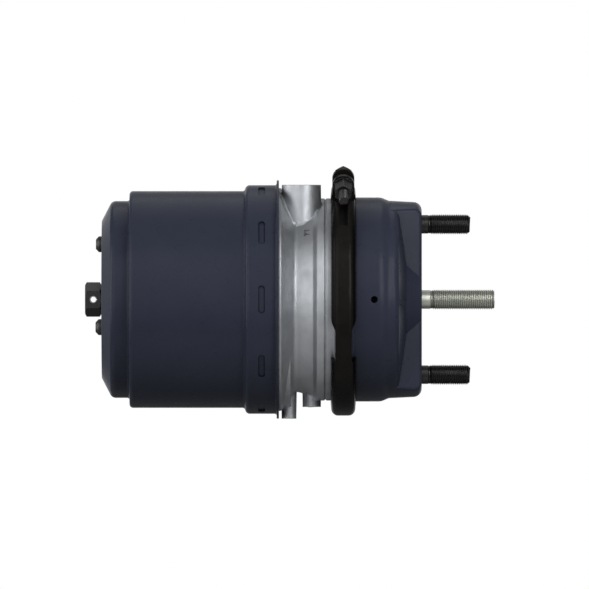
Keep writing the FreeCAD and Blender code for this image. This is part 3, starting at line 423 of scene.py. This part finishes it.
def make_turned_black():
    """Black bolts, nuts and studs, a little paler and glossier than the clamp, with painted shade
    darkening their thread roots.
    """
    return make_finish(
        "turned_black", light=(0.018, 0.0166, 0.0157, 1), dark=(0.013, 0.0120, 0.0115, 1),
        patch_scale=90.0, roughness=(0.22, 0.30), grain=(1400.0, 0.05, 0.1 * MM), specular=0.4,
        edge_radius=0.0, shade_and_grime=(0.0010, 0.0010, 0.0010, 1), shade_and_grime_amount=1.0)


def make_fastener_black():
    """Black nuts and washers, with edges paler as wear and painted highlight, and the gaps between them
    darkened as painted shade and grime.
    """
    return make_finish(
        "fastener_black", light=(0.011, 0.0098, 0.0090, 1), dark=(0.0080, 0.0071, 0.0066, 1),
        patch_scale=90.0, roughness=(0.22, 0.30), grain=(1400.0, 0.08, 0.1 * MM), specular=0.40,
        edge_radius=0.45 * MM, wear_and_highlight=1.0, worn_and_highlight=(0.080, 0.072, 0.066, 1),
        shade_and_grime=(0.0010, 0.0010, 0.0010, 1), shade_and_grime_amount=1.0, shelter=3.0 * MM)


def make_turned_zinc():
    # The darker grey in the thread roots is painted shade.
    return make_finish(
        "turned_zinc", light=(0.66, 0.68, 0.61, 1), dark=(0.57, 0.59, 0.52, 1), patch_scale=120.0,
        roughness=(0.34, 0.44), grain=(1600.0, 0.05, 0.1 * MM), metallic=0.75, edge_radius=0.0,
        shade_and_grime=(0.22, 0.225, 0.195, 1), shade_and_grime_amount=0.8)


def make_plain_steel():
    return make_finish(
        "plain_steel", light=(0.42, 0.42, 0.41, 1), dark=(0.32, 0.32, 0.31, 1), patch_scale=90.0,
        roughness=(0.30, 0.45), grain=(1300.0, 0.12, 0.15 * MM), metallic=1.0,
        wear_and_highlight=0.3, worn_and_highlight=(0.6, 0.6, 0.6, 1), shade_and_grime=(0.08, 0.075, 0.07, 1), shade_and_grime_amount=0.6)


def make_spring_steel():
    return make_finish(
        "spring_steel", light=(0.030, 0.032, 0.038, 1), dark=(0.020, 0.021, 0.026, 1), patch_scale=70.0,
        roughness=(0.35, 0.5), grain=(1200.0, 0.15, 0.15 * MM), wear_and_highlight=0.2, worn_and_highlight=(0.1, 0.1, 0.1, 1),
        shade_and_grime=(0.01, 0.01, 0.01, 1), shade_and_grime_amount=0.5)


def make_rubber():
    return make_finish(
        "rubber", light=(0.013, 0.013, 0.013, 1), dark=(0.009, 0.009, 0.009, 1), patch_scale=80.0,
        roughness=(0.62, 0.8), grain=(1100.0, 0.25, 0.2 * MM), specular=0.2,
        shade_and_grime=(0.004, 0.004, 0.004, 1), shade_and_grime_amount=0.7, shelter=4.0 * MM)


def make_guide_plastic():
    return make_finish(
        "guide_plastic", light=(0.55, 0.52, 0.43, 1), dark=(0.47, 0.44, 0.36, 1), patch_scale=80.0,
        roughness=(0.4, 0.55), grain=(1000.0, 0.1, 0.15 * MM))


def make_plug_plastic():
    return make_finish(
        "plug_plastic", light=(0.020, 0.020, 0.021, 1), dark=(0.014, 0.014, 0.015, 1), patch_scale=150.0,
        roughness=(0.35, 0.5), grain=(1500.0, 0.2, 0.15 * MM), edge_radius=0.4 * MM,
        shade_and_grime=(0.006, 0.006, 0.006, 1), shade_and_grime_amount=0.5)


def make_bush_bronze():
    return make_finish(
        "bush_bronze", light=(0.50, 0.36, 0.16, 1), dark=(0.38, 0.26, 0.11, 1), patch_scale=120.0,
        roughness=(0.35, 0.5), grain=(1800.0, 0.3, 0.15 * MM), metallic=1.0)


finishes = {
    "housing_coat": make_housing_coat(),
    "cast_aluminium": make_cast_aluminium(),
    "painted_shade_casting": make_painted_shade_casting(),
    "black_steel": make_black_steel(),
    "clamp_black": make_clamp_black(),
    "zinc_steel": make_zinc_steel(),
    "turned_black": make_turned_black(),
    "fastener_black": make_fastener_black(),
    "turned_zinc": make_turned_zinc(),
    "plain_steel": make_plain_steel(),
    "spring_steel": make_spring_steel(),
    "rubber": make_rubber(),
    "guide_plastic": make_guide_plastic(),
    "plug_plastic": make_plug_plastic(),
    "bush_bronze": make_bush_bronze(),
}


def dress_cad_nodes():
    """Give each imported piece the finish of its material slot, or its own sort of black."""
    blacks = {"clamp_ring": "clamp_black", "clamp_nut": "fastener_black",
              "clamp_washers": "fastener_black", "release_nut": "fastener_black"}
    for part in frame["record"]["subparts"]:
        node = part["node"]
        for slot in nodes[node].material_slots:
            slot.material = finishes[blacks.get(node, part["material_slot"])]


# Turned and threaded pieces

def finish_piece(mesh, name, slot, body, finish=None, sharp_angle=35.0):
    """Make the mesh an object in its finish, smooth but for its sharp corners.

    It rides on its body, when it is given one.
    """
    bmesh.ops.recalc_face_normals(mesh, faces=mesh.faces)
    for face in mesh.faces:
        face.smooth = True
    for edge in mesh.edges:
        if len(edge.link_faces) == 2 and edge.calc_face_angle() > math.radians(sharp_angle):
            edge.smooth = False
    data = bpy.data.meshes.new(name)
    mesh.to_mesh(data)
    mesh.free()
    data.materials.append(finishes[finish or slot])
    piece = bpy.data.objects.new(name, data)
    bpy.context.scene.collection.objects.link(piece)
    if body:
        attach(piece, body)
    return piece


def turn_outline(mesh, outline):
    """Spin an outline of X and radius right round the X axis."""
    points = [mesh.verts.new((x, 0.0, radius)) for x, radius in outline]
    edges = [mesh.edges.new(pair) for pair in zip(points, points[1:])]
    bmesh.ops.spin(mesh, geom=points + edges, cent=(0, 0, 0), axis=(1, 0, 0),
                   angle=math.tau, steps=turned_steps, use_merge=True)
    bmesh.ops.remove_doubles(mesh, verts=mesh.verts, dist=1e-7)


def wind_thread(mesh, start, end, crest, pitch, fade=0.0, chamfer=0.0, inside=False):
    """Wind a thread's ridge round the X axis, fading in at its start and chamfered at its end."""
    sense = -1.0 if inside else 1.0
    limit = max if inside else min
    root = crest - sense * thread_depth_share * pitch
    sunk = root - sense * sunk_share * pitch
    flank = flank_share * pitch
    land = land_share * pitch
    section = [(-flank, sunk), (-flank, root), (-land, crest), (land, crest), (flank, root), (flank, sunk)]
    corners = [mesh.verts.new((start + x, 0.0, radius)) for x, radius in section]
    first = mesh.faces.new(corners)
    earlier = set(mesh.verts) - set(corners)
    steps = int(round((end - start) / pitch * thread_steps))
    bmesh.ops.spin(mesh, geom=[first], cent=(0, 0, 0), axis=(1, 0, 0),
                   angle=math.tau * steps / thread_steps,
                   dvec=(pitch / thread_steps, 0, 0), steps=steps, use_merge=False)
    for vert in set(mesh.verts) - earlier:
        x, y, z = vert.co
        radius = math.hypot(y, z)
        wanted = radius
        if fade and x < start + fade:
            share = max(0.0, (x - start) / fade)
            wanted = limit(radius, root + (radius - root) * share)
        if chamfer:
            wanted = limit(wanted, crest - sense * (chamfer - (end - x)))
        vert.co = (x, y * wanted / radius, z * wanted / radius)


def mark_thread(mesh, start, end, crest, pitch):
    """Keep each point's depth in the thread, 0 at the crest and 1 at the root, for its finish."""
    layer = mesh.verts.layers.float.new("thread_depth")
    for vert in mesh.verts:
        if start - 0.1 * MM < vert.co.x < end:
            radius = math.hypot(vert.co.y, vert.co.z)
            vert[layer] = min(1.0, max(0.0, (crest - radius) / (thread_depth_share * pitch)))


def make_studs():
    """Both mounting studs, with their rolled threads."""
    low, high = (Vector(corner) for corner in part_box("mounting_studs"))
    radius = 8.0 * MM
    head_radius = 11.25 * MM
    head_right = -3.2 * MM
    spacing = high.z - low.z - 2 * head_radius
    thread_start = 5.5 * MM
    root = radius - thread_depth_share * fine_pitch
    shank = radius - 0.55 * MM
    run_in = 0.4 * MM
    chamfer = 2.0 * MM
    for side, name in ((1, "upper"), (-1, "lower")):
        mesh = bmesh.new()
        turn_outline(mesh, [
            (low.x, 0.0), (low.x, head_radius - 0.85 * MM), (low.x + 0.9 * MM, head_radius),
            (head_right, head_radius), (head_right, shank),
            (thread_start - run_in, shank), (thread_start, root),
            (high.x - chamfer, root), (high.x, radius - chamfer), (high.x, 0.0),
        ])
        wind_thread(mesh, thread_start, high.x, radius, fine_pitch, 2 * fine_pitch, chamfer)
        mark_thread(mesh, thread_start, high.x - chamfer / 2, radius, fine_pitch)
        bmesh.ops.translate(mesh, verts=mesh.verts, vec=(0, 0, side * spacing / 2))
        piece = finish_piece(mesh, name + "_stud", "black_steel", "housing", "turned_black")
        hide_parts("mounting_studs")


def make_push_rod():
    """Push rod with its forged shoulder, plain neck and rolled thread."""
    low, high = (Vector(corner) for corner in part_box("push_rod"))
    crest = 7.9 * MM
    neck = 7.45 * MM
    root = crest - thread_depth_share * fine_pitch
    thread_start = 7.4 * MM
    run_in = 0.6 * MM
    chamfer = 1.0 * MM
    shoulder = 15.0 * MM
    shoulder_left = low.x + 3.2 * MM
    shoulder_right = shoulder_left + 5.0 * MM
    shoulder_edge = 0.8 * MM
    foot = 1.5 * MM
    mesh = bmesh.new()
    turn_outline(mesh, [
        (low.x, 0.0), (low.x, neck), (shoulder_left, neck), (shoulder_left, shoulder - shoulder_edge),
        (shoulder_left + shoulder_edge, shoulder), (shoulder_right - shoulder_edge, shoulder),
        (shoulder_right, shoulder - shoulder_edge), (shoulder_right, neck + foot),
        (shoulder_right + foot, neck), (thread_start - run_in, neck), (thread_start, root),
        (high.x - chamfer, root), (high.x - 0.2 * MM, root - 0.2 * MM),
        (high.x, root - 0.6 * MM), (high.x, 0.0),
    ])
    wind_thread(mesh, thread_start, high.x - 0.3 * MM, crest, fine_pitch, 2 * fine_pitch, chamfer)
    mark_thread(mesh, thread_start, high.x - chamfer / 2, crest, fine_pitch)
    piece = finish_piece(mesh, "threaded_push_rod", "zinc_steel", "push_rod_group", "turned_zinc")
    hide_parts("push_rod")


def turn_hexagon(mesh, left, right, flats, corner_share=0.97):
    """A hexagon head round the X axis, its corners turned off at the left end."""
    rise = math.tan(math.radians(30))
    crown = flats / 2 * corner_share
    depth = (flats / math.sqrt(3) - crown) * rise
    levels = [left + depth * k / 4 for k in range(5)]
    before = set(mesh.verts)
    turn_outline(mesh, [(left, 0.0)] + [(x, flats) for x in levels] + [(right, flats), (right, 0.0)])
    for vert in set(mesh.verts) - before:
        x, y, z = vert.co
        radius = math.hypot(y, z)
        if radius > flats / 2:
            turn = math.atan2(y, z) % math.radians(60) - math.radians(30)
            wanted = min(flats / 2 / math.cos(turn), crown + (x - left) / rise)
            vert.co = (x, y * wanted / radius, z * wanted / radius)


def make_clamp_bolt():
    """Hexagon bolt through the clamp's lugs, its threaded end towards the front."""
    radius = 4.0 * MM
    head_left = -15.5 * MM
    head_right = -10.2 * MM
    thread_start = 11.0 * MM
    end = 38.0 * MM
    chamfer = 1.0 * MM
    root = radius - thread_depth_share * coarse_pitch
    mesh = bmesh.new()
    turn_hexagon(mesh, head_left, head_right, 13.0 * MM)
    turn_outline(mesh, [
        (head_right - 0.5 * MM, 0.0), (head_right - 0.5 * MM, radius), (thread_start - 0.5 * MM, radius),
        (thread_start, root), (end - chamfer, root), (end, radius - chamfer), (end, 0.0),
    ])
    wind_thread(mesh, thread_start, end, radius, coarse_pitch, coarse_pitch, chamfer)
    mark_thread(mesh, thread_start, end - chamfer / 2, radius, coarse_pitch)
    across = Matrix.Rotation(-math.pi / 2, 4, "Z")
    lift = Matrix.Translation((clamp_seam_x, 0.0, clamp_bolt_rise))
    lean = Matrix.Rotation(clamp_bolt_angle, 4, "X")
    bmesh.ops.transform(mesh, matrix=lean @ lift @ across, verts=mesh.verts)
    piece = finish_piece(mesh, "threaded_clamp_bolt", "black_steel", "housing", "turned_black")
    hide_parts("clamp_bolt")


def make_tapped_hole(name, mouth, depth, bore, pitch, upward):
    """The thread inside an upright tapped hole, which opens at its mouth."""
    mesh = bmesh.new()
    crest = bore - thread_depth_share * pitch
    wind_thread(mesh, pitch / 2, depth - 0.2 * MM, crest, pitch, pitch, 0.9 * MM, inside=True)
    turn = Matrix.Rotation(-math.pi / 2 if upward else math.pi / 2, 4, "Y")
    inward = Vector((0.0, 0.0, -depth if upward else depth))
    place = Matrix.Translation(Vector(mouth) + inward)
    bmesh.ops.transform(mesh, matrix=place @ turn, verts=mesh.verts)
    finish_piece(mesh, name, "cast_aluminium", "housing")


def make_tapped_holes():
    """The threads of both air ports and of the hose bracket's hole."""
    for side, name in ((-1, "port_thread_near"), (1, "port_thread_far")):
        mouth = (port_x, side * port_offset, port_mouth)
        make_tapped_hole(name, mouth, port_depth, port_bore, fine_pitch, upward=True)
    mouth = (bracket_x, 0.0, bracket_mouth)
    make_tapped_hole("bracket_thread", mouth, bracket_depth, bracket_bore, coarse_pitch, upward=False)


def casting_surface():
    """A search tree over the casting's own mesh, to seat small details on its skin."""
    skin = bmesh.new()
    skin.from_mesh(nodes["flange_body"].data)
    tree = BVHTree.FromBMesh(skin)
    skin.free()
    return tree


def make_boss_fillets():
    """The cast fillets where the port bosses run into the waist."""
    skin = casting_surface()
    size = 2.6 * MM
    clear = 0.45 * MM
    arc_steps = 7
    arc = [(k / arc_steps, 1 - k / arc_steps) for k in range(arc_steps + 1)]
    section = [(u ** 2, v ** 2) for u, v in arc] + [(1.0, -0.25), (-0.25, -0.25), (-0.25, 1.0)]

    def height(x, y):
        return skin.ray_cast(Vector((x, y, 0.2)), Vector((0.0, 0.0, -1.0)))[0].z

    for side, name in ((-1, "near"), (1, "far")):
        centre_y = side * port_offset
        mesh = bmesh.new()
        points = [mesh.verts.new((boss_radius + u * size, 0.0, v * size)) for u, v in section]
        edges = [mesh.edges.new(pair) for pair in zip(points, points[1:] + points[:1])]
        bmesh.ops.spin(mesh, geom=points + edges, cent=(0, 0, 0), axis=(0, 0, 1),
                       angle=math.tau, steps=turned_steps, use_merge=True)
        bmesh.ops.remove_doubles(mesh, verts=mesh.verts, dist=1e-7)
        for vert in mesh.verts:
            x, y, z = vert.co
            radius = math.hypot(x, y)
            share = (radius - boss_radius) / size
            inner = (boss_radius + clear) / radius
            outer = (boss_radius + size) / radius
            foot = height(port_x + x * inner, centre_y + y * inner)
            toe = height(port_x + x * outer, centre_y + y * outer)
            lean = (toe - foot) * share * size / (size - clear)
            vert.co = (port_x + x, centre_y + y, foot + lean + z)
        finish_piece(mesh, "boss_fillet_" + name, "cast_aluminium", "housing")


def make_port_number(name, number, side):
    """Small raised port number on the waist, reading downwards beside its boss."""
    words = bpy.data.curves.new(name, "FONT")
    words.body = number
    words.size = 7.6 * MM
    words.extrude = 0.55 * MM
    words.bevel_depth = 0.12 * MM
    words.align_x = "CENTER"
    words.align_y = "CENTER"
    draft = bpy.data.objects.new(name, words)
    bpy.context.scene.collection.objects.link(draft)
    bpy.context.view_layer.update()
    data = bpy.data.meshes.new_from_object(draft.evaluated_get(bpy.context.evaluated_depsgraph_get()))
    bpy.data.objects.remove(draft)
    bpy.data.curves.remove(words)
    mesh = bmesh.new()
    mesh.from_mesh(data)
    bpy.data.meshes.remove(data)
    bmesh.ops.remove_doubles(mesh, verts=mesh.verts, dist=1e-7)
    reach = side * math.sqrt(waist_radius ** 2 - number_rise ** 2)
    outward = Vector((0.0, reach, number_rise)).normalized()
    upright = Vector((-side, 0.0, 0.0))
    seat = Matrix((upright.cross(outward), upright, outward)).transposed().to_4x4()
    seat.translation = Vector((number_x, reach, number_rise))
    bmesh.ops.transform(mesh, matrix=seat, verts=mesh.verts)
    # The number takes a darker finish than the casting, as painted shade.
    finish_piece(mesh, name, "cast_aluminium", "housing", "painted_shade_casting")


def follow_push_plate():
    """Give the return spring a mesh of its own, and remake the diaphragm as a rubber rolling diaphragm
    that rides on no body.
    """
    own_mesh(nodes["return_spring"])
    mesh = bmesh.new()
    mesh.from_mesh(nodes["diaphragm"].data)
    bmesh.ops.remove_doubles(mesh, verts=mesh.verts, dist=1e-6)
    rolling = finish_piece(mesh, "rolling_diaphragm", "rubber", None)
    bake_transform(rolling)
    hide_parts("diaphragm")


dress_cad_nodes()
follow_push_plate()
make_studs()
make_push_rod()
make_clamp_bolt()
make_tapped_holes()
make_boss_fillets()
make_port_number("port_number_near", "12", -1)
make_port_number("port_number_far", "11", 1)


# Stage: floor, lights, sky and camera

def make_floor():
    """A round pale floor under the part, fading to white at its rim."""
    centre = Vector((photo_centre.x, 0.0, floor_level))
    mesh = bmesh.new()
    bmesh.ops.create_circle(mesh, cap_ends=True, segments=96, radius=floor_radius)
    bmesh.ops.translate(mesh, verts=mesh.verts, vec=centre)
    data = bpy.data.meshes.new("floor")
    mesh.to_mesh(data)
    mesh.free()
    floor = bpy.data.objects.new("floor", data)
    bpy.context.scene.collection.objects.link(floor)
    material = bpy.data.materials.new("floor_paint")
    material.use_nodes = True
    tree = material.node_tree
    tree.nodes.clear()
    output = tree.nodes.new("ShaderNodeOutputMaterial")
    paint = tree.nodes.new("ShaderNodeBsdfDiffuse")
    place = tree.nodes.new("ShaderNodeTexCoord").outputs["Object"]
    gloss = tree.nodes.new("ShaderNodeLightPath").outputs["Is Glossy Ray"]
    behind = map_range(tree, along(tree, place, (0.0, 1.0, 0.0)), -0.10, 0.05, 0.7, 0.15, smooth=True)
    strength = map_range(tree, gloss, 0.0, 1.0, 1.0, behind)
    seen = seen_ray(tree)
    shown = math_node(tree, "MULTIPLY", seen, strength)
    tree.links.new(mix_color(tree, shown, floor_unseen, floor_seen), paint.inputs["Color"])
    glow = tree.nodes.new("ShaderNodeEmission")
    tree.links.new(strength, glow.inputs["Strength"])
    blend = tree.nodes.new("ShaderNodeMixShader")
    outwards = tree.nodes.new("ShaderNodeVectorMath")
    outwards.operation = "DISTANCE"
    outwards.inputs[1].default_value = centre
    tree.links.new(place, outwards.inputs[0])
    fade = map_range(tree, outwards.outputs["Value"], 0.15, floor_radius * 0.97, 0.0, 1.0, smooth=True)
    tree.links.new(math_node(tree, "MULTIPLY", fade, seen), blend.inputs["Fac"])
    tree.links.new(paint.outputs["BSDF"], blend.inputs[1])
    tree.links.new(glow.outputs["Emission"], blend.inputs[2])
    tree.links.new(blend.outputs["Shader"], output.inputs["Surface"])
    data.materials.append(material)


def seen_ray(tree):
    """1 for camera, glossy and transmission rays, 0 for the rays that light the part."""
    path = tree.nodes.new("ShaderNodeLightPath")
    either = math_node(tree, "MAXIMUM", path.outputs["Is Camera Ray"], path.outputs["Is Glossy Ray"])
    return math_node(tree, "MAXIMUM", either, path.outputs["Is Transmission Ray"])


def along(tree, direction, axis):
    """How far a direction points along an axis, from -1 to 1."""
    dot = tree.nodes.new("ShaderNodeVectorMath")
    dot.operation = "DOT_PRODUCT"
    dot.inputs[1].default_value = axis
    tree.links.new(direction, dot.inputs[0])
    return dot.outputs["Value"]


def make_sky():
    """A weak even fill as light, and where it is seen white, dimmer overhead.

    Gloss shows the same white behind and to the left, a grey screen in front, and an upright white
    panel on each side of the camera, with a darker room between.
    """
    world = bpy.data.worlds.new("studio")
    bpy.context.scene.world = world
    world.use_nodes = True
    tree = world.node_tree
    tree.nodes.clear()
    output = tree.nodes.new("ShaderNodeOutputWorld")
    fill = tree.nodes.new("ShaderNodeBackground")
    fill.inputs["Color"].default_value = WHITE
    fill.inputs["Strength"].default_value = fill_level
    backdrop = tree.nodes.new("ShaderNodeBackground")
    backdrop.inputs["Color"].default_value = WHITE
    direction = tree.nodes.new("ShaderNodeTexCoord").outputs["Generated"]
    split = tree.nodes.new("ShaderNodeSeparateXYZ")
    tree.links.new(direction, split.inputs["Vector"])
    height = split.outputs["Z"]
    overhead = map_range(tree, height, 0.5, 0.85, 1.0, 0.35, smooth=True)
    above = map_range(tree, height, 0.12, 0.45, 1.0, 0.12, smooth=True)
    below = map_range(tree, height, -0.30, 0.0, 0.12, 1.0, smooth=True)
    leftwards = along(tree, direction, (-0.85, 0.53, 0.0))
    room = map_range(tree, leftwards, -0.35, 0.3, 0.2, 0.7, smooth=True)
    horizon = math_node(tree, "MULTIPLY", math_node(tree, "MULTIPLY", above, below), room)
    front = map_range(tree, split.outputs["Y"], 0.15, -0.3, 0.0, 0.35, smooth=True)
    table = map_range(tree, height, -0.80, -0.30, 0.1, 1.0, smooth=True)
    ceiling = map_range(tree, height, 0.75, 1.0, 1.0, 0.4, smooth=True)
    screen = math_node(tree, "MULTIPLY", math_node(tree, "MULTIPLY", front, table), ceiling)
    gloss = math_node(tree, "MAXIMUM", horizon, screen)
    for side in (1, -1):
        width = math_node(tree, "ABSOLUTE", along(tree, direction, (0.87, side * 0.50, 0.0)))
        panel = map_range(tree, width, 0.10, 0.22, 1.0, 0.0, smooth=True)
        towards = along(tree, direction, (side * 0.50, -0.87, 0.0))
        facing = map_range(tree, towards, -0.2, 0.1, 0.0, 1.0, smooth=True)
        panel = math_node(tree, "MULTIPLY", math_node(tree, "MULTIPLY", panel, facing), table)
        gloss = math_node(tree, "MAXIMUM", gloss, panel)
    glossy_ray = tree.nodes.new("ShaderNodeLightPath").outputs["Is Glossy Ray"]
    shown = map_range(tree, glossy_ray, 0.0, 1.0, 1.0, gloss)
    tree.links.new(math_node(tree, "MULTIPLY", overhead, shown), backdrop.inputs["Strength"])
    blend = tree.nodes.new("ShaderNodeMixShader")
    tree.links.new(seen_ray(tree), blend.inputs["Fac"])
    tree.links.new(fill.outputs["Background"], blend.inputs[1])
    tree.links.new(backdrop.outputs["Background"], blend.inputs[2])
    tree.links.new(blend.outputs["Shader"], output.inputs["Surface"])


def add_softbox(name, direction, distance, size, level):
    """A softbox aimed at the part. Level 1 lights a facing surface to its own colour."""
    data = bpy.data.lights.new(name, "AREA")
    data.shape = "RECTANGLE"
    data.size, data.size_y = size
    data.energy = level * math.pi ** 2 * distance ** 2
    lamp = bpy.data.objects.new(name, data)
    bpy.context.scene.collection.objects.link(lamp)
    away = Vector(direction).normalized()
    lamp.matrix_world = (Matrix.Translation(photo_centre + away * distance)
                         @ away.to_track_quat("Z", "Y").to_matrix().to_4x4())


def add_lights():
    add_softbox("key_softbox", (-0.45, -0.80, 0.38), 1.8, (1.8, 2.2), 0.42)
    add_softbox("top_softbox", (-0.05, 0.45, 0.90), 1.6, (1.2, 1.2), 0.12)
    add_softbox("right_softbox", (0.46, -0.80, 0.36), 0.6, (0.22, 0.50), 0.42)
    add_softbox("left_softbox", (-0.98, -0.09, 0.20), 1.8, (1.0, 1.6), 0.42)
    add_softbox("back_softbox", (0.25, 0.75, 0.60), 1.8, (2.4, 1.6), 0.06)


def add_camera():
    """A long lens level with the part, looking at its side as the photograph does."""
    data = bpy.data.cameras.new("camera")
    data.sensor_width = sensor_width
    data.lens = sensor_width * camera_distance / photo_width
    data.clip_end = 100.0
    camera = bpy.data.objects.new("camera", data)
    bpy.context.scene.collection.objects.link(camera)
    camera.matrix_world = (Matrix.Translation(photo_centre + Vector((0.0, -camera_distance, 0.0)))
                           @ Matrix.Rotation(math.pi / 2, 4, "X"))
    bpy.context.scene.camera = camera


make_floor()
make_sky()
add_lights()
add_camera()
bpy.context.scene.view_settings.view_transform = "Standard"
